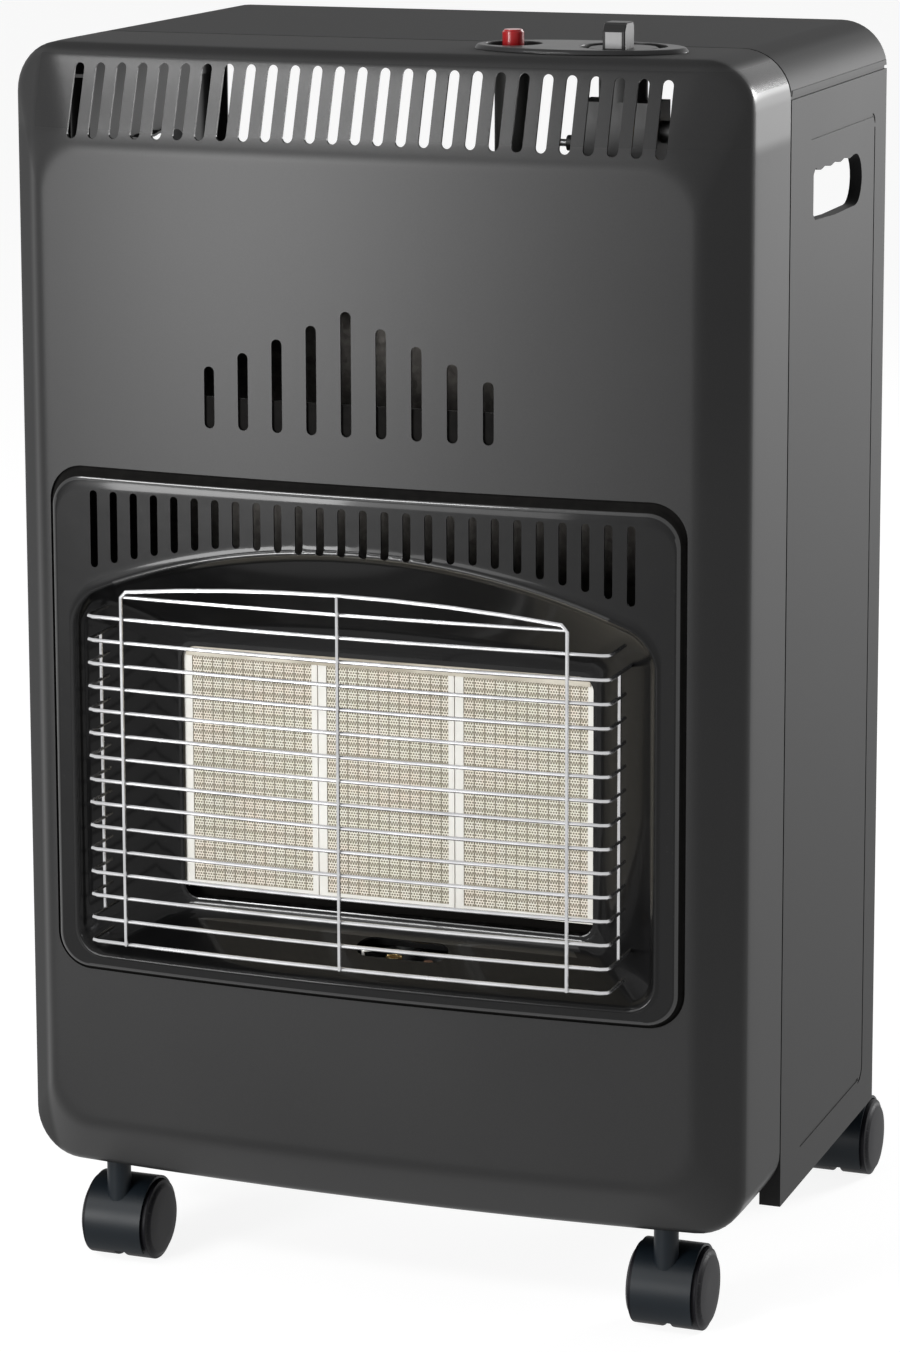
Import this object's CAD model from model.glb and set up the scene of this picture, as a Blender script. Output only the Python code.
# Portable gas cabinet heater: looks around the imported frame.
import math
import bpy
import bmesh
import numpy as np
from mathutils import Matrix, Vector
from mathutils.bvhtree import BVHTree


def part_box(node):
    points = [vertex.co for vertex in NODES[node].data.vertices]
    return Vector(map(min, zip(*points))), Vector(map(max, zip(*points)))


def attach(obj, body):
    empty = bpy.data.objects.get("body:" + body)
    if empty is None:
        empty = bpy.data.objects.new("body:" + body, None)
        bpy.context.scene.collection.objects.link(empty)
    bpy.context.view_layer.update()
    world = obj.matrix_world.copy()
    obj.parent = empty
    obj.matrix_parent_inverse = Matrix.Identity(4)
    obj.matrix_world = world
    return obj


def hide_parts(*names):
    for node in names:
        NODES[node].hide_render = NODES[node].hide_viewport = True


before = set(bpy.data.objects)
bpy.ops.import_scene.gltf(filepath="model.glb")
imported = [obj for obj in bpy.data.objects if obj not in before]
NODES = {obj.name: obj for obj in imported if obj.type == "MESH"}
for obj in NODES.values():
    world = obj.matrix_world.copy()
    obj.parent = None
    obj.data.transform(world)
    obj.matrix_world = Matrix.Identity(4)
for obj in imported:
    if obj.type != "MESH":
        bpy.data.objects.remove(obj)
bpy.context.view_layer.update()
MM = 0.001
scene = bpy.context.scene
scene.view_settings.view_transform = "Standard"

# ---------------------------------------------------------------- sizes, in mm unless said otherwise
# Y counts from the front panel's corner line, as in part.scad
HALF_W, TOP_Z = 210.0, 697.0
FRONT_Z0, FRONT_D, CORNER_R, CROWN = 62.0, 88.0, 27, 11.6
SHEET_T = 1.2
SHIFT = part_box("front_panel")[1].y / MM - FRONT_D  # from the corner line to the frame's own Y

# slots in the panel's sloping band; the middle ones sit higher by BAND_LIFT, those at BAND_REACH by nothing
BAND_SLOTS, BAND_PITCH, BAND_FOOT, BAND_HEAD, BAND_LIFT, BAND_REACH = 27, 12.8, 646.6, 686.6, 2.5, 166
# slots above the surround; each is lower than its inner neighbour by MID_STEP
MID_SLOTS, MID_PITCH, MID_SHIFT, MID_FOOT, MID_HEAD, MID_STEP = 9, 19.9, -4.6, 493.6, 561, 8.4
PANEL_SLOT_W = 6
OPEN_HALF_W, OPEN_FOOT, OPEN_HEAD, OPEN_R = 182.5, 183, 467.8, 20
CONTROL_Y = 54
CONTROL_HOLES = ((128, 25.2), (66.5, 17.7))  # x and radius, for the knob and the igniter
CASTOR_X, CASTOR_Y, CASTOR_HOLE_R = 163, 30, 8.4

ARCH_R = 400
# slots in the surround; their feet lie lower by FRAME_DROP at FRAME_DROP_X, and within FRAME_DIP_X of the
# middle by up to FRAME_DIP more
FRAME_SLOTS, FRAME_PITCH, FRAME_SLOT_W, FRAME_FOOT, FRAME_HEAD = 26, 12.3, 4.5, 434.5, 455.5
FRAME_DROP, FRAME_DROP_X, FRAME_DIP, FRAME_DIP_X = 22, 154, 5.5, 72
# the pilot's slot: middles of its round ends, place, half width, tilt and reach through the sheet
PILOT_X, PILOT_Y, PILOT_Z, PILOT_R, PILOT_TILT, PILOT_REACH = (-2, 34), 13, 208.5, 8.5, math.radians(28), 12
GUARD_HOLE_X, GUARD_HOLE_Z, GUARD_HOLE_R = 148.9, (377.3, 221.3), 1.1
ZINC_Z = 510.5  # from here up the surround shows its cut edge
COAT_EDGE = (179.4, 185.6, 462.2, 17.4)  # half width, foot, head and corner radius of its enamelled face
BEAD_W = 1.7  # of the glossier bead inside that edge
ARCH_Z, ARCH_HALF_W = 430.4, 140  # the arched upper edge of the recess, where the enamel is glossier too
SILL_Z, SILL_HALF_W, SILL_Y = 221, 113, 22  # as is the fold under the window

# fine holes of the plaques, in m, with the plain margins round their field
HOLE_PITCH = 0.00152
MARGIN_LEFT, MARGIN_RIGHT, MARGIN_LOW, MARGIN_HIGH = 0.0049, 0.0033, 0.0035, 0.0020

# the paint's zones, in m above the floor
TOP_DULL = 0.6945  # from here up it is dull with settled dust
BAND_Z = 0.654  # lower edge of the sloping band of slots

# ---------------------------------------------------------------- camera
CAMERA_AT = (0.8402, -2.3084, 0.8991)  # m
CAMERA_YAW, CAMERA_PITCH, CAMERA_ROLL = 0.3547, 0.1762, -0.0034  # radians
CAMERA_SENSOR, CAMERA_LENS = 36, 117.325
CAMERA_SHIFT = (0.0109, -0.17)

def make_camera():
    """the photograph's camera, fitted to the corners and slots of the cabinet"""
    level = math.cos(CAMERA_PITCH)
    ahead = Vector((-math.sin(CAMERA_YAW) * level, math.cos(CAMERA_YAW) * level, -math.sin(CAMERA_PITCH)))
    right = Vector((math.cos(CAMERA_YAW), math.sin(CAMERA_YAW), 0))
    up = right.cross(ahead)
    c, s = math.cos(CAMERA_ROLL), math.sin(CAMERA_ROLL)
    right, up = c * right + s * up, -s * right + c * up
    data = bpy.data.cameras.new("view_camera")
    data.sensor_width = CAMERA_SENSOR
    data.lens = CAMERA_LENS
    data.shift_x, data.shift_y = CAMERA_SHIFT
    data.clip_start, data.clip_end = 0.05, 60
    camera = collection_link(bpy.data.objects.new("view_camera", data))
    turn = Matrix((right, up, -ahead)).transposed().to_4x4()
    turn.translation = CAMERA_AT
    camera.matrix_world = turn
    scene.camera = camera

def collection_link(o):
    scene.collection.objects.link(o)
    return o

make_camera()

# ---------------------------------------------------------------- node helpers
def material(name):
    m = bpy.data.materials.new(name)
    m.use_nodes = True
    nt = m.node_tree
    return m, nt, nt.nodes["Principled BSDF"]

SOCKETS = {"color": "Base Color", "rough": "Roughness", "metal": "Metallic", "spec": "Specular IOR Level",
           "coat": "Coat Weight", "coat_rough": "Coat Roughness"}

def set_in(bsdf, **values):
    """sets a shader's own sockets"""
    for k, v in values.items():
        bsdf.inputs[SOCKETS[k]].default_value = (*v, 1) if k == "color" else v

def drive(nt, bsdf, color, rough=None):
    """links what gives the colour and the roughness"""
    link(nt, color, bsdf.inputs["Base Color"])
    if rough is not None:
        link(nt, rough, bsdf.inputs["Roughness"])

def add(nt, kind, **props):
    n = nt.nodes.new(kind)
    for k, v in props.items():
        setattr(n, k, v)
    return n

def link(nt, a, b):
    nt.links.new(a, b)

def fill(nt, socket, value):
    """gives a socket a number, a colour or a link"""
    if isinstance(value, (int, float)):
        socket.default_value = value
    elif isinstance(value, tuple):
        socket.default_value = (*value, 1)
    else:
        link(nt, value, socket)

def coords(nt, scale=(1, 1, 1)):
    tc = add(nt, "ShaderNodeTexCoord")
    mp = add(nt, "ShaderNodeMapping")
    mp.inputs["Scale"].default_value = scale
    link(nt, tc.outputs["Object"], mp.inputs["Vector"])
    return mp.outputs["Vector"]

def place(nt):
    """X, Y and Z in the frame, in metres"""
    sep = add(nt, "ShaderNodeSeparateXYZ")
    link(nt, add(nt, "ShaderNodeTexCoord").outputs["Object"], sep.inputs[0])
    return sep.outputs

def noise(nt, vec, scale, detail=2, rough=0.5):
    n = add(nt, "ShaderNodeTexNoise")
    n.inputs["Scale"].default_value = scale
    n.inputs["Detail"].default_value = detail
    n.inputs["Roughness"].default_value = rough
    link(nt, vec, n.inputs["Vector"])
    return n.outputs["Fac"]

def remap(nt, fac, lo, hi, a=0.0, b=1.0, smooth=True):
    """a where fac is lo or less, b where it is hi or more, and in between a run from a to b"""
    n = add(nt, "ShaderNodeMapRange", interpolation_type="SMOOTHSTEP" if smooth else "LINEAR")
    for k, v in (("From Min", lo), ("From Max", hi), ("To Min", a), ("To Max", b)):
        n.inputs[k].default_value = v
    link(nt, fac, n.inputs["Value"])
    return n.outputs["Result"]

def place_mask(nt, low, high, axis="Z"):
    """0 at low and 1 at high, in metres along an axis of the frame"""
    return remap(nt, place(nt)[axis], low, high)

def mix(nt, fac, a, b):
    n = add(nt, "ShaderNodeMix", data_type="RGBA")
    for index, value in ((0, fac), (6, a), (7, b)):  # factor and the two colours of the Mix node
        fill(nt, n.inputs[index], value)
    return n.outputs[2]

def math_node(nt, op, a, b=0.0, c=0.0):
    n = add(nt, "ShaderNodeMath", operation=op)
    for socket, value in zip(n.inputs, (a, b, c)):
        fill(nt, socket, value)
    return n.outputs[0]

def times(nt, a, b):
    return math_node(nt, "MULTIPLY", a, b)

def around(nt, fac, middle, spread):
    """a value that follows fac over spread, with its middle at fac 0.5"""
    return math_node(nt, "MULTIPLY_ADD", fac, spread, middle - spread / 2)

def bump(nt, bsdf, height, strength, distance):
    n = add(nt, "ShaderNodeBump")
    n.inputs["Strength"].default_value = strength
    n.inputs["Distance"].default_value = distance
    link(nt, height, n.inputs["Height"])
    link(nt, n.outputs["Normal"], bsdf.inputs["Normal"])

def scaled(colour, factor):
    return tuple(c * factor for c in colour)

# ---------------------------------------------------------------- materials
def paint(name, base, rough, spec, top_rough=0.80, band=0.0):
    """stoved satin paint with a soft cloudy tone and a fine grain, duller with dust on the top;
    where band is given, also duller on the side edges and glossier by band on the sloping band"""
    dust, grain = 0.06, 0.10
    m, nt, b = material(name)
    v = coords(nt)
    cloud = noise(nt, v, scale=5, detail=3)
    fine = noise(nt, v, scale=1400, rough=0.6)
    col = mix(nt, remap(nt, fine, 0.3, 0.7), scaled(base, 1 - grain), scaled(base, 1 + grain))
    col = mix(nt, remap(nt, cloud, 0.35, 0.75, 0, dust), col, (0.06, 0.06, 0.06))
    r = around(nt, cloud, rough, 0.05)
    top = place_mask(nt, TOP_DULL - 0.004, TOP_DULL)
    r = math_node(nt, "MULTIPLY_ADD", top, top_rough - rough, r)
    if band:
        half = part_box("front_panel")[1].x
        rim = place_mask(nt, half - 0.002, half - 0.0005, "X")
        r = math_node(nt, "MULTIPLY_ADD", rim, 0.28, r)
        left_bevel = place_mask(nt, 0.019 - half, 0.013 - half, "X")
        r = math_node(nt, "MULTIPLY_ADD", left_bevel, 0.32, r)
        slope = math_node(nt, "SUBTRACT", place_mask(nt, BAND_Z - 0.008, BAND_Z), top)
        r = math_node(nt, "MULTIPLY_ADD", slope, -band, r)
    drive(nt, b, col, r)
    bump(nt, b, fine, strength=0.25, distance=0.00006)
    set_in(b, spec=spec)
    return m

def enamel(name, spec, coat):
    """black vitreous enamel: a soft gloss with a slight orange peel"""
    m, nt, b = material(name)
    v = coords(nt)
    peel = noise(nt, v, scale=70, detail=1)
    speck = noise(nt, v, scale=700)
    col = mix(nt, remap(nt, speck, 0.66, 0.8), (0.004, 0.004, 0.0042), (0.012, 0.012, 0.012))
    drive(nt, b, col, around(nt, noise(nt, v, scale=14), 0.30, 0.10))
    set_in(b, spec=spec, coat=coat, coat_rough=0.07)
    bump(nt, b, peel, strength=0.25, distance=0.0005)
    return m

def ground_coat():
    """matt black ground coat on the hidden edges of the enamelled sheet"""
    m, nt, b = material("enamel_ground_coat")
    n = noise(nt, coords(nt), scale=160, detail=3)
    drive(nt, b, mix(nt, n, (0.003, 0.003, 0.003), (0.010, 0.0095, 0.009)), around(nt, n, 0.90, 0.10))
    set_in(b, spec=0.05)
    bump(nt, b, n, strength=0.2, distance=0.0001)
    return m

def metal(name, base, rough, streak=0.0, streak_scale=(1, 1, 1), spread=0.12):
    """bare metal whose tone goes down by spread; streak is the strength of its drawn or cast surface"""
    m, nt, b = material(name)
    n = noise(nt, coords(nt, streak_scale), scale=260 if streak else 60, detail=3)
    drive(nt, b, mix(nt, remap(nt, n, 0.3, 0.7), scaled(base, 1 - spread), base), around(nt, n, rough, 0.18))
    set_in(b, metal=1.0)
    if streak:
        bump(nt, b, n, strength=streak, distance=0.00005)
    return m

def galvanised():
    """hot-dipped sheet with a fine spangle, browned by the heat on the side that faces the burner"""
    m, nt, b = material("galvanised_sheet")
    v = coords(nt)
    flakes = add(nt, "ShaderNodeTexVoronoi", feature="F1")
    flakes.inputs["Scale"].default_value = 240
    link(nt, v, flakes.inputs["Vector"])
    flake = add(nt, "ShaderNodeSeparateColor")
    link(nt, flakes.outputs["Color"], flake.inputs["Color"])
    fine = noise(nt, v, scale=300, detail=3)
    tone = math_node(nt, "MULTIPLY_ADD", fine, 0.7, times(nt, flake.outputs[0], 0.3))
    bright = mix(nt, remap(nt, tone, 0.2, 0.9), (0.24, 0.245, 0.25), (0.33, 0.335, 0.34))
    brown = mix(nt, remap(nt, tone, 0.2, 0.9), (0.040, 0.037, 0.034), (0.085, 0.080, 0.074))
    facing = add(nt, "ShaderNodeSeparateXYZ")
    link(nt, add(nt, "ShaderNodeNewGeometry").outputs["Normal"], facing.inputs[0])
    rear = remap(nt, facing.outputs["Y"], -0.6, -0.4)
    drive(nt, b, mix(nt, rear, brown, bright), around(nt, flake.outputs[1], 0.46, 0.12))
    set_in(b, metal=0.9)
    bump(nt, b, tone, strength=0.08, distance=0.0001)
    return m

def plastic(name, base, rough, grain=0.15, coat=0.0, spec=0.5):
    """moulded plastic with a fine grain and a faintly uneven tone"""
    m, nt, b = material(name)
    v = coords(nt)
    fine = noise(nt, v, scale=900, detail=3, rough=0.6)
    tone = noise(nt, v, scale=30)
    col = mix(nt, remap(nt, tone, 0.3, 0.75), scaled(base, 0.88), scaled(base, 1.1))
    drive(nt, b, col, around(nt, tone, rough, 0.08))
    set_in(b, coat=coat, coat_rough=0.1, spec=spec)
    bump(nt, b, fine, strength=grain, distance=0.00012)
    return m

def fibre():
    """ceramic fibre packing: pale above the plaques with a scorched line, blackened below them"""
    m, nt, b = material("fibre_gasket")
    v = coords(nt)
    fine = noise(nt, v, scale=500, detail=3, rough=0.6)
    tone = noise(nt, v, scale=30)
    low, top = (corner.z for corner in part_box("plaque_m"))
    pale = mix(nt, remap(nt, tone, 0.3, 0.75), (0.40, 0.36, 0.29), (0.60, 0.56, 0.48))
    above = place_mask(nt, top + 0.0007, top + 0.0011)
    below = math_node(nt, "SUBTRACT", 1.0, place_mask(nt, top + 0.0017, top + 0.0021))
    scorch = times(nt, times(nt, above, below), remap(nt, tone, 0.3, 0.6, 0.3, 1.0))
    pale = mix(nt, scorch, pale, (0.10, 0.055, 0.045))
    col = mix(nt, place_mask(nt, low - 0.0002, low + 0.0008), (0.004, 0.0035, 0.003), pale)
    drive(nt, b, col, around(nt, tone, 0.94, 0.08))
    set_in(b, spec=0.1)
    bump(nt, b, fine, strength=0.6, distance=0.00012)
    return m

def plaque_field(nt):
    """masks of the plaques' holed field: the field, the lines round each square of holes, the holes"""
    lo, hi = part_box("plaque_m")
    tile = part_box("plaque_r")[0].x - lo.x
    at = place(nt)
    # whole tiles, cells and rows are added so that no remainder is taken of a negative number
    tiles = math_node(nt, "DIVIDE", math_node(nt, "ADD", at["X"], 4 * tile - lo.x), tile)
    x = math_node(nt, "SUBTRACT", times(nt, math_node(nt, "FRACT", tiles), tile), MARGIN_LEFT)
    z = math_node(nt, "SUBTRACT", math_node(nt, "SUBTRACT", at["Z"], lo.z), MARGIN_LOW)

    def within(value, top):
        """1 from 0 up to top and 0 outside"""
        edge = 0.0001
        start = remap(nt, value, -edge, edge, 0, 1, smooth=False)
        return times(nt, start, remap(nt, value, top - edge, top + edge, 1, 0, smooth=False))

    def from_middle(value, size):
        """distance from the middle of a repeating cell, 0 to 0.5"""
        cells = math_node(nt, "ADD", math_node(nt, "DIVIDE", value, size), 100)
        return math_node(nt, "ABSOLUTE", math_node(nt, "SUBTRACT", math_node(nt, "FRACT", cells), 0.5))

    across = within(x, hi.x - lo.x - MARGIN_LEFT - MARGIN_RIGHT)
    field = times(nt, across, within(z, hi.z - lo.z - MARGIN_LOW - MARGIN_HIGH))
    row = math_node(nt, "ADD", math_node(nt, "FLOOR", math_node(nt, "DIVIDE", z, HOLE_PITCH)), 1000)
    stagger = times(nt, math_node(nt, "MODULO", row, 2), 0.5 * HOLE_PITCH)
    dx = from_middle(math_node(nt, "ADD", x, stagger), HOLE_PITCH)
    dz = from_middle(z, HOLE_PITCH)
    d = math_node(nt, "SQRT", math_node(nt, "ADD", times(nt, dx, dx), times(nt, dz, dz)))
    hole = times(nt, remap(nt, d, 0.29, 0.42, 1, 0), field)
    square = 4 * HOLE_PITCH
    upright = remap(nt, from_middle(x, square), 0.40, 0.5)
    level = times(nt, remap(nt, from_middle(z, square), 0.41, 0.5), 0.9)
    groove = times(nt, math_node(nt, "MAXIMUM", upright, level), field)
    return field, groove, hole

def plaque_ceramic():
    """cordierite tile: plain pale margin and a field of fine holes, in squares of four by four"""
    m, nt, b = material("plaque_ceramic")
    field, groove, hole = plaque_field(nt)
    v = coords(nt)
    tint = noise(nt, v, scale=38, detail=3)
    patch = noise(nt, v, scale=190)
    face = mix(nt, remap(nt, tint, 0.35, 0.65), (0.74, 0.715, 0.60), (0.79, 0.71, 0.61))
    face = mix(nt, remap(nt, patch, 0.35, 0.7, 0, 0.6), face, (0.80, 0.78, 0.70))
    margin = mix(nt, remap(nt, tint, 0.3, 0.8), (0.77, 0.76, 0.72), (0.72, 0.70, 0.65))
    col = mix(nt, field, margin, face)
    col = mix(nt, times(nt, groove, 0.9), col, (0.17, 0.15, 0.10))
    col = mix(nt, times(nt, hole, 0.9), col, (0.12, 0.10, 0.065))
    drive(nt, b, col)
    set_in(b, rough=0.85, spec=0.3)
    bump(nt, b, math_node(nt, "SUBTRACT", times(nt, patch, 0.2), hole), strength=0.5, distance=0.0005)
    return m

M = {
    "front": paint("satin_front_paint", (0.012, 0.012, 0.0122), rough=0.36, spec=0.225, band=0.11),
    "body": paint("satin_body_paint", (0.012, 0.012, 0.0122), rough=0.62, spec=0.16, top_rough=0.78),
    "pan": paint("satin_pan_paint", (0.006, 0.006, 0.0065), rough=0.45, spec=0.2),
    "enamel": enamel("vitreous_enamel", spec=0.07, coat=0.25),
    "bead": enamel("vitreous_enamel_bead", spec=0.25, coat=0.8),
    "ground": ground_coat(),
    "chrome": metal("bright_guard_wire", (0.56, 0.56, 0.57), rough=0.24, spread=0.10),
    "galv": galvanised(),
    "zinc": metal("zinc_plate", (0.70, 0.70, 0.71), rough=0.32),
    "steel": metal("sheet_burner_steel", (0.095, 0.092, 0.09), rough=0.42, streak=0.2, spread=0.65),
    "aluminised": metal("aluminised_steel", (0.58, 0.59, 0.60), rough=0.45, streak=0.2,
                        streak_scale=(1, 1, 0.1)),
    "brass": metal("turned_brass", (0.76, 0.58, 0.28), rough=0.28, streak=0.15, streak_scale=(1, 1, 30)),
    "cast": metal("die_cast_alloy", (0.10, 0.10, 0.10), rough=0.55, streak=0.5),
    "pipe": metal("drawn_pipe", (0.70, 0.71, 0.72), rough=0.34),
    "copper": metal("copper_lead", (0.72, 0.42, 0.28), rough=0.35),
    "fibre": fibre(),
    "plaque": plaque_ceramic(),
    "white": plastic("white_insulator", (0.80, 0.79, 0.75), rough=0.25, grain=0.05, coat=0.5),
    "igniter": plastic("igniter_plastic", (0.03, 0.03, 0.029), rough=0.5, spec=0.2),
    "red": plastic("red_button", (0.30, 0.008, 0.010), rough=0.30, grain=0.08, coat=0.2, spec=0.2),
    "silver": plastic("knob_silver", (0.21, 0.21, 0.21), rough=0.38, grain=0.10, spec=0.3),
    "knob": plastic("knob_dark", (0.012, 0.012, 0.012), rough=0.42, grain=0.10, spec=0.15),
    "bezel": plastic("bezel_plastic", (0.012, 0.012, 0.0125), rough=0.50, grain=0.12, coat=0.12, spec=0.15),
    "castor": plastic("castor_plastic", (0.0042, 0.0068, 0.0095), rough=0.42, spec=0.17),
    "disc": plastic("castor_disc", (0.0040, 0.0038, 0.0055), rough=0.48, grain=0.12, spec=0.10),
    "rubber": plastic("lead_rubber", (0.02, 0.02, 0.02), rough=0.6),
}

# ---------------------------------------------------------------- mesh helpers
def turn_outwards(bm):
    bmesh.ops.recalc_face_normals(bm, faces=bm.faces)

def mesh_from(name, draw):
    """the mesh that draw(bm) draws, with its faces turned outwards"""
    bm = bmesh.new()
    draw(bm)
    turn_outwards(bm)
    me = bpy.data.meshes.new(name)
    bm.to_mesh(me)
    bm.free()
    return me

def mesh_object(name, verts, faces):
    me = bpy.data.meshes.new(name)
    me.from_pydata([tuple(v) for v in verts], [], [tuple(f) for f in faces])
    me.validate()
    me.update()
    return collection_link(bpy.data.objects.new(name, me))

def turned_object(name, verts, faces):
    """an object from verts and faces, with its faces turned outwards"""
    o = mesh_object(name, verts, faces)
    bm = bmesh.new()
    bm.from_mesh(o.data)
    turn_outwards(bm)
    bm.to_mesh(o.data)
    bm.free()
    return o

def to_frame(verts):
    """points in mm, with Y from the corner line, as points of the frame"""
    return [(x * MM, (y + SHIFT) * MM, z * MM) for x, y, z in verts]

def bridge(bm, loops, close=False):
    """quads between neighbouring loops of vertices; close joins the last loop to the first"""
    pairs = list(zip(loops, loops[1:])) + ([(loops[-1], loops[0])] if close else [])
    for a, b in pairs:
        for i in range(len(a)):
            j = (i + 1) % len(a)
            bm.faces.new((a[i], a[j], b[j], b[i]))

def loft(bm, loops):
    """closed solid through loops of points of the frame"""
    rows = [[bm.verts.new(p) for p in loop] for loop in loops]
    bridge(bm, rows)
    bm.faces.new(list(reversed(rows[0])))
    bm.faces.new(rows[-1])

def circle(cx, cy, r, steps):
    return [(cx + r * math.cos(a), cy + r * math.sin(a)) for a in np.linspace(0, 2 * math.pi, steps + 1)[:-1]]

def arc(cx, cy, r, start, turn, steps):
    """points round (cx, cy) from the angle start over turn, both in degrees"""
    angles = [math.radians(start + t) for t in np.linspace(0, turn, steps + 1)]
    return [(cx + r * math.cos(a), cy + r * math.sin(a)) for a in angles]

def round_rect(half_w, z0, z1, r):
    x = half_w - r
    corners = ((x, z1 - r, 0), (-x, z1 - r, 90), (-x, z0 + r, 180), (x, z0 + r, 270))
    return [p for cx, cz, start in corners for p in arc(cx, cz, r, start, 90, 12)]

def slot_outline(x, z0, z1, width):
    r = width / 2
    return arc(x, z1 - r, r, 0, 180, 10) + arc(x, z0 + r, r, 180, 180, 10)

def through_y(bm, outline, y0, y1):
    """cutter along Y with an outline in X and Z, in mm"""
    loft(bm, [to_frame([(x, y, z) for x, z in outline]) for y in (y0, y1)])

def through_z(bm, outline, z0, z1):
    """cutter along Z with an outline in X and Y, in mm"""
    loft(bm, [to_frame([(x, y, z) for x, y in outline]) for z in (z0, z1)])

def spaced(count, pitch):
    """count places at pitch, with their middle at 0"""
    return [(i - (count - 1) / 2) * pitch for i in range(count)]

def carve(o, draw):
    """cuts from o the solids that draw(bm) draws"""
    cutter = collection_link(bpy.data.objects.new("cutter", mesh_from("cutter", draw)))
    mod = o.modifiers.new("cut", "BOOLEAN")
    mod.operation, mod.solver, mod.object = "DIFFERENCE", "EXACT", cutter
    me = bpy.data.meshes.new_from_object(o.evaluated_get(bpy.context.evaluated_depsgraph_get()))
    whole = o.data
    o.modifiers.clear()
    o.data = me
    bpy.data.meshes.remove(whole)
    bpy.data.objects.remove(cutter)

# ---------------------------------------------------------------- pressed sheets, finer than in part.scad
CORNER_CUTS = 2  # how often the corners of a run of stations are cut
GUIDE_ANGLE = math.radians(40)  # faces turned further than this from the guide keep their own shading

def bulge(x):
    """how far the crown moves the sheet along Y at x"""
    return -CROWN * (1 - (x / HALF_W) ** 2)

def arch_drop(x):
    return ARCH_R - math.sqrt(ARCH_R * ARCH_R - x * x)

def half_outline(half_w, r, arc_steps, flat_steps):
    """lower half of a rounded rectangle from left to right: x, and the height above its lowest line"""
    flat = half_w - r
    down = np.linspace(0, math.pi / 2, arc_steps, endpoint=False)
    up = np.linspace(0, math.pi / 2, arc_steps + 1)[1:]
    left = [(-flat - r * math.cos(a), r - r * math.sin(a)) for a in down]
    middle = [(x, 0.0) for x in np.linspace(-flat, flat, flat_steps)]
    right = [(flat + r * math.sin(a), r - r * math.cos(a)) for a in up]
    return left + middle + right

def ring(half_w, z0, z1, r, y, crown, arch, arc_steps=10, flat_steps=49):
    """closed outline of one station of a sheet, with its shares of the crown and of the arch"""
    half = half_outline(half_w, r, arc_steps, flat_steps)
    low = [(x, y + crown * bulge(x), z0 + d) for x, d in half]
    high = [(x, y + crown * bulge(x), z1 - d - arch * arch_drop(x)) for x, d in reversed(half)]
    return low + high

def rounded(rows, keep=()):
    """rounds a run of stations by cutting its corners; the stations in keep stay sharp"""
    near, far = 0.75, 0.25
    rows = [(np.array(r, float), i in keep) for i, r in enumerate(rows)]
    for _ in range(CORNER_CUTS):
        out = [rows[0]]
        for before, (p, sharp), after in zip(rows, rows[1:], rows[2:]):
            if sharp:
                out.append((p, True))
            else:
                out += [(p * near + before[0] * far, False), (p * near + after[0] * far, False)]
        rows = out + [rows[-1]]
    return [p for p, sharp in rows]

def skin(rings, fill_last):
    """vertices and faces of a run of rings; fill_last closes the last ring with upright strips"""
    n = len(rings[0])
    faces = []
    for k in range(len(rings) - 1):
        for i in range(n):
            a, b = k * n + i, k * n + (i + 1) % n
            faces.append((a, b, b + n, a + n))
    if fill_last:
        o = (len(rings) - 1) * n
        faces += [(o + i, o + i + 1, o + n - 2 - i, o + n - 1 - i) for i in range(n // 2 - 1)]
    return [p for r in rings for p in r], faces

def sheet_solid(name, outer, inner, fill_last):
    """closed sheet from its two skins, and its outer skin alone; the skins are joined at the first ring
    and, where open, at the last"""
    outer_verts, outer_faces = skin(outer, fill_last)
    inner_verts, inner_faces = skin(inner, fill_last)
    n, off = len(outer[0]), len(outer_verts)
    last = (len(outer) - 1) * n
    faces = outer_faces + [tuple(off + i for i in reversed(f)) for f in inner_faces]
    for i in range(n):
        j = (i + 1) % n
        faces.append((j, i, off + i, off + j))
        if not fill_last:
            faces.append((last + i, last + j, off + last + j, off + last + i))
    solid = turned_object(name, to_frame(outer_verts + inner_verts), faces)
    return solid, turned_object(name + "_guide", to_frame(outer_verts), outer_faces)

def guided_normals(o, guide):
    """takes the shading of the smooth skin before it was cut; walls of cuts keep their own"""
    g = guide.data
    tree = BVHTree.FromPolygons([v.co for v in g.vertices], [tuple(p.vertices) for p in g.polygons])
    guide_normals = [v.normal.copy() for v in g.vertices]
    me = o.data
    near = []
    for v in me.vertices:
        spot, _, face, _ = tree.find_nearest(v.co)
        corners = g.polygons[face].vertices
        weights = [1.0 / ((g.vertices[i].co - spot).length + 1e-7) for i in corners]
        n = sum((guide_normals[i] * w for i, w in zip(corners, weights)), Vector()) / sum(weights)
        near.append(n.normalized())
    steepest = math.cos(GUIDE_ANGLE)
    normals = [None] * len(me.loops)
    for p in me.polygons:
        p.use_smooth = True
        for li in p.loop_indices:
            n = near[me.loops[li].vertex_index]
            d = p.normal.dot(n)
            normals[li] = n if d > steepest else (-n if d < -steepest else p.normal)
    me.normals_split_custom_set([tuple(n) for n in normals])
    bpy.data.objects.remove(guide)

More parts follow.
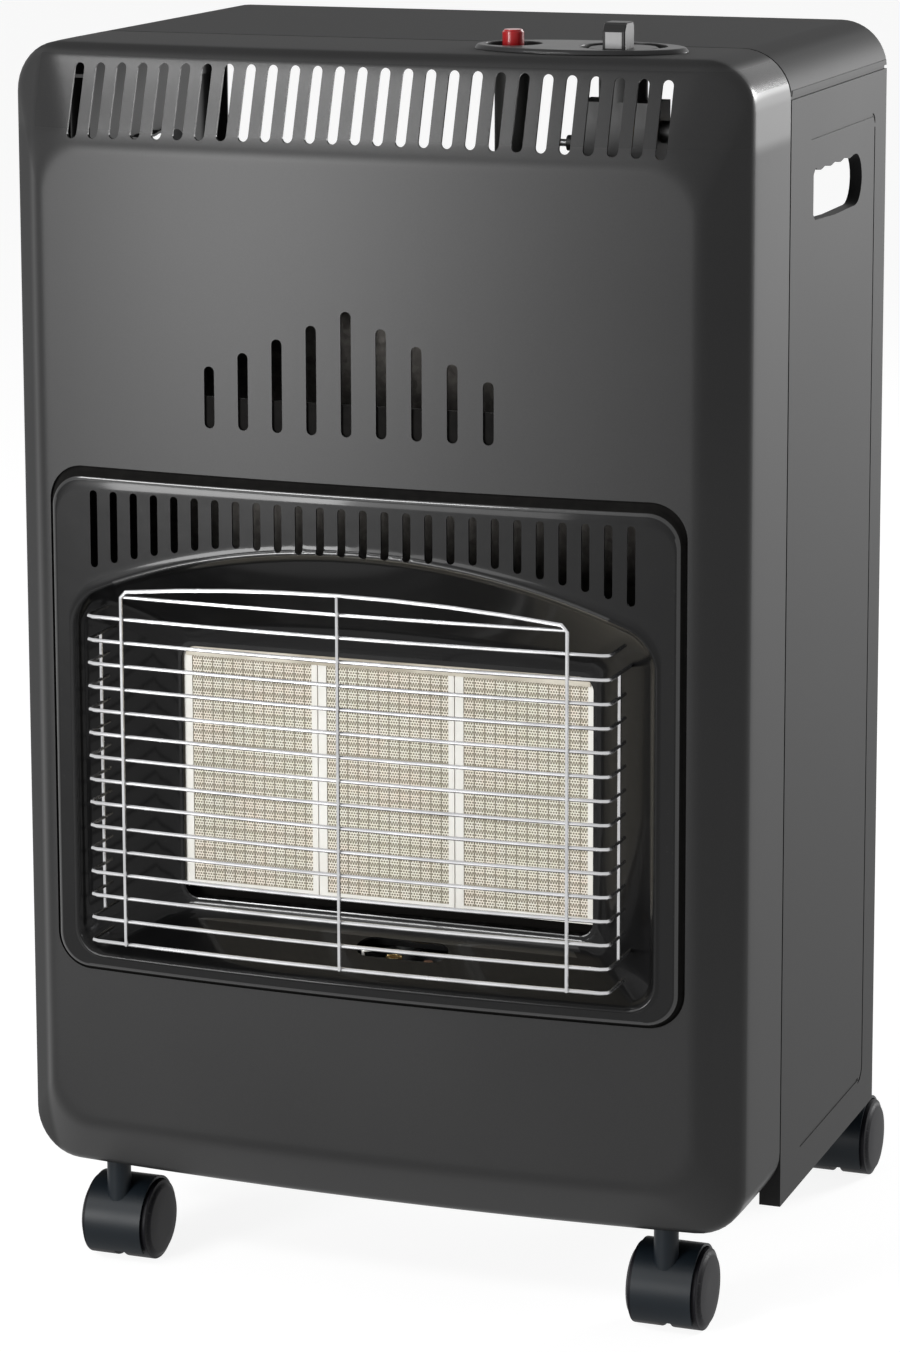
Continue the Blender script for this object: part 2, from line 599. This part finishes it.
# ---------------------------------------------------------------- front panel
def front_rings(t):
    """stations of the panel's skin at the depth t under its outer face"""
    # inset at the sides, foot and top, then depth, corner radius and share of the crown
    press = [(0, 0, 0, FRONT_D, CORNER_R, 0), (0, 0, 0, 25, CORNER_R, 1), (0.6, 0.7, 0.8, 21.8, CORNER_R, 1),
             (2.2, 2.8, 2.8, 19, 26.5, 1), (4.8, 6.4, 6, 16.4, 26, 1), (18, 24.8, 44, 3.6, 25, 1),
             (20.6, 28.4, 49.6, 1.5, 25, 1), (22.6, 31, 53, 0.5, 25, 1), (25, 34, 56.5, 0, 25, 1),
             (29, 38, 60.5, 0, 25, 1)]
    return [ring(HALF_W - side - t, FRONT_Z0 + foot + t, TOP_Z - top - t, r - t,
                 y + (t if i else 0), crown, 0)
            for i, (side, foot, top, y, r, crown) in enumerate(rounded(press))]

def front_cuts(bm):
    """the slots, the opening for the surround and the holes for the controls and the castors' stems;
    every cutter reaches well through the sheet"""
    for x in spaced(BAND_SLOTS, BAND_PITCH):
        lift = BAND_LIFT * (1 - (x / BAND_REACH) ** 2)
        through_y(bm, slot_outline(x, BAND_FOOT + lift, BAND_HEAD + lift, PANEL_SLOT_W), -20, 35)
    for place_no in spaced(MID_SLOTS, 1):
        head = MID_HEAD - abs(place_no) * MID_STEP
        through_y(bm, slot_outline(place_no * MID_PITCH + MID_SHIFT, MID_FOOT, head, PANEL_SLOT_W), -20, 10)
    through_y(bm, round_rect(OPEN_HALF_W, OPEN_FOOT, OPEN_HEAD, OPEN_R), -30, 20)
    for x, r in CONTROL_HOLES:
        through_z(bm, circle(x, CONTROL_Y, r, 64), TOP_Z - 20, TOP_Z + 20)
    for x in (-CASTOR_X, CASTOR_X):
        through_z(bm, circle(x, CASTOR_Y, CASTOR_HOLE_R, 32), FRONT_Z0 - 12, FRONT_Z0 + 8)

def build_front():
    o, guide = sheet_solid("front_panel_skin", front_rings(0), front_rings(SHEET_T), True)
    carve(o, front_cuts)
    guided_normals(o, guide)
    o.data.materials.append(M["front"])
    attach(o, "cabinet")
    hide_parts("front_panel")

# ---------------------------------------------------------------- surround
def surround_rings():
    """stations of the surround from its upper flange to the window, outside and inside"""
    # half width, foot, head, corner radius, depth, shares of the crown and of the arch
    rows = [(184.3, 175.5, 510.8, 27, 1.55, 1, 0), (181.7, 184, 466.8, 19.5, 1.55, 1, 0),
            (180, 185, 462.8, 18, -3, 1, 0), (177.5, 187.5, 459.3, 16, -4, 1, 0),
            (169.4, 191.5, 432.6, 16, -4, 1, 1), (168, 192.6, 431, 16, -5.5, 1, 1),
            (165.6, 194.6, 429, 14.5, -3.2, 1, 1), (164, 196.2, 427, 13.5, 0, 1, 1),
            (131.5, 210.4, 380.5, 11, 24, 0, 0.2), (126.5, 213.6, 373, 10, 28, 0, 0.1),
            (122.8, 216.6, 366.6, 9, 30.3, 0, 0), (120, 219, 363, 8, 31, 0, 0)]
    # how far the rear skin lies outwards and behind at each station
    grow = [(0, 1.2), (-1, 1.2), (-1.2, 1.3), (-1, 1.2), (0.6, 1.2), (0.6, 1.3), (1.2, 1.2), (1.3, 0.6),
            (1.2, 0.8), (1.2, 0.8), (1.2, 0.6), (1.2, 0)]
    rear = [(half_w + out, foot - out, head + out, r + out, y + back, crown, arch)
            for (half_w, foot, head, r, y, crown, arch), (out, back) in zip(rows, grow)]

    def between(a, b, share):
        return tuple(p + (q - p) * share for p, q in zip(a, b))

    def fuller(run):
        """extra stations keep the slotted face and the recess's walls flat between their rounded ends"""
        face = [between(run[3], run[4], 0.14), between(run[3], run[4], 0.8)]
        wall = [between(run[7], run[8], 0.07), between(run[7], run[8], 0.9)]
        return run[:4] + face + run[4:8] + wall + run[8:]

    def rings(run):
        return [ring(*p, arc_steps=12, flat_steps=61) for p in rounded(fuller(run), keep=(1,))]

    return rings(rows), rings(rear)

def pilot_cut(bm):
    """slanted slot, square to the recess's floor"""
    c, s = math.cos(PILOT_TILT), math.sin(PILOT_TILT)
    left, right = PILOT_X
    outline = arc(right, 0, PILOT_R, -90, 180, 16) + arc(left, 0, PILOT_R, 90, 180, 16)
    loft(bm, [to_frame([(x, PILOT_Y + v * c - h * s, PILOT_Z + v * s + h * c) for x, v in outline])
              for h in (-PILOT_REACH, PILOT_REACH)])

def surround_cuts(bm):
    """the slots under the upper edge, the pilot's slot and the holes that hold the guard"""
    for x in spaced(FRAME_SLOTS, FRAME_PITCH):
        drop = FRAME_DROP * (x / FRAME_DROP_X) ** 2
        dip = FRAME_DIP * max(0.0, 1 - (x / FRAME_DIP_X) ** 2)
        through_y(bm, slot_outline(x, FRAME_FOOT - drop - dip, FRAME_HEAD, FRAME_SLOT_W), -30, 6)
    pilot_cut(bm)
    for x in (-GUARD_HOLE_X, GUARD_HOLE_X):
        for z in GUARD_HOLE_Z:
            through_y(bm, circle(x, z, GUARD_HOLE_R, 16), -2, 20)

def outside(x, z, half_w, z0, z1, r):
    """how far a point lies outside a rounded rectangle, in mm"""
    qx = abs(x) - (half_w - r)
    qz = abs(z - (z0 + z1) / 2) - ((z1 - z0) / 2 - r)
    return math.hypot(max(qx, 0), max(qz, 0)) + min(max(qx, qz), 0) - r

def surround_finish(x, y, z):
    """which coat the surround has at a point, in mm"""
    edge = outside(x, z, *COAT_EDGE)
    arch = z - (ARCH_Z - arch_drop(x))
    if z > ZINC_Z:
        return "zinc"
    if edge > 0:
        return "ground"
    on_rim = edge > -BEAD_W
    on_arch = -1.2 < arch < 1.8 and abs(x) < ARCH_HALF_W
    on_sill = z < SILL_Z and abs(x) < SILL_HALF_W and y > SILL_Y
    return "bead" if on_rim or on_arch or on_sill else "enamel"

def build_surround():
    """the enamelled surround with its rounded beads, slots and pilot opening"""
    o, guide = sheet_solid("surround_skin", *surround_rings(), False)
    carve(o, surround_cuts)
    guided_normals(o, guide)
    coats = ("enamel", "ground", "zinc", "bead")
    for key in coats:
        o.data.materials.append(M[key])
    for p in o.data.polygons:
        x, y, z = p.center / MM
        p.material_index = coats.index(surround_finish(x, y - SHIFT, z))
    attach(o, "cabinet")
    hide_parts("radiant_frame")

def build_flange():
    """the narrow flange round the window, where the burner box is screwed on"""
    # half width, foot, head and corner radius
    outer, inner = round_rect(136, 203, 379, 10), round_rect(120.6, 218.4, 363.6, 8.6)
    front, back = 30.4, 30.4 + SHEET_T

    def draw(bm):
        loops = ((outer, front), (inner, front), (inner, back), (outer, back))
        rows = [to_frame([(x, y, z) for x, z in loop]) for loop, y in loops]
        bridge(bm, [[bm.verts.new(p) for p in row] for row in rows], close=True)

    f = collection_link(bpy.data.objects.new("surround_flange", mesh_from("surround_flange", draw)))
    f.data.materials.append(M["enamel"])
    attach(f, "cabinet")

# ---------------------------------------------------------------- knob
def knob_piece(name, loops, key):
    o = collection_link(bpy.data.objects.new(name, mesh_from(name, lambda bm: loft(bm, loops))))
    o.data.materials.append(M[key])
    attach(o, "knob")
    return o

def build_knob():
    """dark disc with a short raised grip whose front carries a silver insert"""
    lo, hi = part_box("control_knob")
    cx, cy = (lo.x + hi.x) / 2, (lo.y + hi.y) / 2
    disc_r, disc_z = (hi.x - lo.x) / 2, lo.z + 7 * MM
    front, rear, half_w = -17 * MM, -1 * MM, 6.2 * MM  # of the grip, from the disc's middle
    foot, bevel, edge = disc_z - 1 * MM, 4.6 * MM, 0.5 * MM

    # radius and height up the disc's rim and over its rounded edge
    profile = [(disc_r - 0.6 * MM, lo.z), (disc_r, lo.z + 0.6 * MM), (disc_r, lo.z + 4.2 * MM),
               (disc_r - 0.8 * MM, lo.z + 5 * MM), (disc_r - 2.6 * MM, disc_z - 0.5 * MM),
               (disc_r - 3.4 * MM, disc_z)]
    rims = [[(x, y, z) for x, y in circle(cx, cy, r, 72)] for r, z in profile]
    disc = knob_piece("knob_disc", rims, "knob")
    for p in disc.data.polygons:
        p.use_smooth = len(p.vertices) == 4

    # side view of the grip, from the foot of its front over the bevel and the top to its rear
    side = [(front, foot), (front, hi.z - bevel), (front + 0.45 * bevel, hi.z - 0.9 * MM),
            (front + 0.8 * bevel, hi.z), (rear - 1.5 * MM, hi.z), (rear, hi.z - 1.5 * MM), (rear, foot)]

    def side_view(x, inset):
        """the side view at x, drawn in at its front, top and rear"""
        points = []
        for y, z in side:
            inwards = inset if y < (front + rear) / 2 else -inset
            down = inset if z > hi.z - 2 * MM else 0
            points.append((cx + x, cy + y + inwards, z - down))
        return points

    widths = ((-half_w, edge), (edge - half_w, 0), (half_w - edge, 0), (half_w, edge))
    knob_piece("knob_grip", [side_view(x, inset) for x, inset in widths], "knob")

    w, low, high = half_w - 1.7 * MM, disc_z + 0.6 * MM, hi.z - bevel - 0.3 * MM
    plate = ((-w, low), (w, low), (w, high), (-w, high))
    depths = (front + 0.3 * MM, front - 0.35 * MM)
    knob_piece("knob_insert", [[(cx + x, cy + y, z) for x, z in plate] for y in depths], "silver")
    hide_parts("control_knob")

build_front()
build_surround()
build_flange()
build_knob()

# ---------------------------------------------------------------- CAD nodes that keep their shape
SMOOTH_ANGLE = math.radians(40)  # edges up to this angle are shaded smooth
BEVEL_ANGLE = math.radians(35)  # edges from this angle are rounded

def smooth_group():
    """node group that shades faces smooth and keeps the edges above an angle sharp"""
    g = bpy.data.node_groups.new("smooth_by_edge", "GeometryNodeTree")
    g.interface.new_socket("Geometry", in_out="INPUT", socket_type="NodeSocketGeometry")
    g.interface.new_socket("Angle", in_out="INPUT", socket_type="NodeSocketFloat")
    g.interface.new_socket("Geometry", in_out="OUTPUT", socket_type="NodeSocketGeometry")
    source, out = add(g, "NodeGroupInput"), add(g, "NodeGroupOutput")
    angle = add(g, "GeometryNodeInputMeshEdgeAngle")
    shallow = add(g, "FunctionNodeCompare", data_type="FLOAT", operation="LESS_EQUAL")
    face = add(g, "GeometryNodeSetShadeSmooth")
    edge = add(g, "GeometryNodeSetShadeSmooth", domain="EDGE")
    link(g, source.outputs[0], face.inputs["Geometry"])
    link(g, angle.outputs["Unsigned Angle"], shallow.inputs[0])
    link(g, source.outputs[1], shallow.inputs[1])
    link(g, face.outputs[0], edge.inputs["Geometry"])
    link(g, shallow.outputs[0], edge.inputs["Shade Smooth"])
    link(g, edge.outputs[0], out.inputs[0])
    return g

SMOOTH = smooth_group()

def dress(name, key, bevel=0.0, planar=True):
    """gives a node its material, welds its mesh, rounds its edges by bevel mm and smooths what is round"""
    o = NODES[name]
    o.data.materials.clear()
    o.data.materials.append(M[key])
    weld = o.modifiers.new("weld", "WELD")
    weld.merge_threshold = 2e-6
    if planar:
        flat = o.modifiers.new("planar", "DECIMATE")
        flat.decimate_type = "DISSOLVE"
        flat.angle_limit = math.radians(0.3)
    if bevel:
        edge = o.modifiers.new("edge", "BEVEL")
        edge.width = bevel * MM
        edge.segments = 2
        edge.limit_method = "ANGLE"
        edge.angle_limit = BEVEL_ANGLE
        edge.use_clamp_overlap = True
    smooth = o.modifiers.new("smooth", "NODES")
    smooth.node_group = SMOOTH
    smooth[SMOOTH.interface.items_tree["Angle"].identifier] = SMOOTH_ANGLE
    if bevel:
        o.modifiers.new("weighted", "WEIGHTED_NORMAL").keep_sharp = True

# material, rounding of the edges in mm, and the nodes
for key, bevel, names in (
        ("body", 0.35, ("top_hood",)),
        ("body", 0.25, ("side_panel_l", "side_panel_r")),
        ("pan", 0.2, ("base_pan",)),
        ("galv", 0.2, ("heat_shield", "injector_rail")),
        ("zinc", 0.2, ("shield_screws", "burner_screws", "valve_spindle", "pilot_bracket")),
        ("steel", 0.2, ("burner_box",)),
        ("fibre", 0.2, ("plaque_gasket",)),
        ("aluminised", 0.2, ("mixer_tubes",)),
        ("brass", 0.2, ("injector_l", "injector_m", "injector_r", "inlet_tail")),
        ("brass", 0.15, ("pilot_burner",)),
        ("brass", 0, ("valve_plug",)),
        ("cast", 0.5, ("gas_valve",)),
        ("bezel", 0.8, ("control_bezel",)),
        ("igniter", 0.3, ("igniter_body",)),
        ("red", 0.4, ("igniter_button",)),
        ("white", 0.15, ("spark_electrode",)),
        ("copper", 0, ("thermocouple",)),
        ("rubber", 0, ("ignition_lead",)),
        ("pipe", 0, ("pilot_pipe", "gas_pipe_l", "gas_pipe_m", "gas_pipe_r"))):
    for name in names:
        dress(name, key, bevel)
dress("wire_guard", "chrome", planar=False)
for name in ("plaque_l", "plaque_m", "plaque_r"):
    dress(name, "plaque", planar=False)
for castor in ("fl", "fr", "rl", "rr"):
    for part, key, bevel in (("stem", "zinc", 0.3), ("hood", "castor", 0.8), ("axle", "zinc", 0.2),
                             ("wheel_a", "disc", 0.5), ("wheel_b", "disc", 0.5)):
        dress(f"castor_{castor}_{part}", key, bevel)

# ---------------------------------------------------------------- floor, world and lamps
WHITE = (1, 1, 1, 1)
WORLD_LIGHT = 0.24  # strength of the soft light from all round
FLOOR_HALF = 30  # m
FLOOR_SEEN = 0.25  # what the camera sees of the floor's own tone, so that a shadow shows on it
FLOOR_GLOW = 0.88  # the rest up to white

def seen_rays(nt):
    """1 for rays from the camera and for those seen in gloss or through glass, else 0"""
    rays = add(nt, "ShaderNodeLightPath").outputs
    either = math_node(nt, "MAXIMUM", rays["Is Camera Ray"], rays["Is Glossy Ray"])
    return math_node(nt, "MAXIMUM", either, rays["Is Transmission Ray"])

def switch(nt, lighting, seen, surface):
    """one shader for the light that falls on the heater and another for what is seen"""
    mx = add(nt, "ShaderNodeMixShader")
    link(nt, seen_rays(nt), mx.inputs[0])
    link(nt, lighting.outputs[0], mx.inputs[1])
    link(nt, seen.outputs[0], mx.inputs[2])
    link(nt, mx.outputs[0], surface)

def make_world():
    world = bpy.data.worlds.new("studio")
    scene.world = world
    world.use_nodes = True
    nt = world.node_tree
    nt.nodes.clear()
    lighting, seen = add(nt, "ShaderNodeBackground"), add(nt, "ShaderNodeBackground")
    for background, strength in ((lighting, WORLD_LIGHT), (seen, 1.0)):
        background.inputs["Color"].default_value = WHITE
        background.inputs["Strength"].default_value = strength
    switch(nt, lighting, seen, add(nt, "ShaderNodeOutputWorld").inputs["Surface"])

def make_floor():
    """white sweep: lit by the lamps, and white to the camera and to reflections but for the shadow"""
    m, nt, lighting = material("studio_floor")
    set_in(lighting, color=(0.8, 0.8, 0.8), rough=0.9, spec=0.1)
    seen = add(nt, "ShaderNodeBsdfPrincipled")
    set_in(seen, color=(FLOOR_SEEN, FLOOR_SEEN, FLOOR_SEEN), rough=1.0, spec=0.0)
    seen.inputs["Emission Color"].default_value = WHITE
    seen.inputs["Emission Strength"].default_value = FLOOR_GLOW
    switch(nt, lighting, seen, nt.nodes["Material Output"].inputs["Surface"])
    h = FLOOR_HALF
    o = mesh_object("studio_floor", [(-h, -h, 0), (h, -h, 0), (h, h, 0), (-h, h, 0)], [(0, 1, 2, 3)])
    o.data.materials.append(m)

def lamp(name, azimuth, elevation, width, height, watts):
    """soft box round the middle of the heater; azimuth counts from the front towards the right side"""
    a, e = math.radians(azimuth), math.radians(elevation)
    light = bpy.data.lights.new(name, "AREA")
    light.shape = "RECTANGLE"
    light.size, light.size_y = width, height
    light.energy = watts
    o = collection_link(bpy.data.objects.new(name, light))
    away = Vector((math.sin(a) * math.cos(e), -math.cos(a) * math.cos(e), math.sin(e)))
    middle, distance = Vector((0, 0, 0.38)), 3
    o.location = middle + away * distance
    o.rotation_mode = "QUATERNION"
    o.rotation_quaternion = away.to_track_quat("Z", "Y")
    o.visible_camera = False

make_world()
make_floor()
lamp("key_left", azimuth=-27, elevation=3, width=0.7, height=1.0, watts=57)
lamp("key_inner", azimuth=-16, elevation=3, width=0.8, height=1.0, watts=15)
lamp("key_high", azimuth=-30, elevation=34, width=1.4, height=0.3, watts=32)
lamp("rim_right", azimuth=145, elevation=10, width=0.8, height=1.0, watts=75)
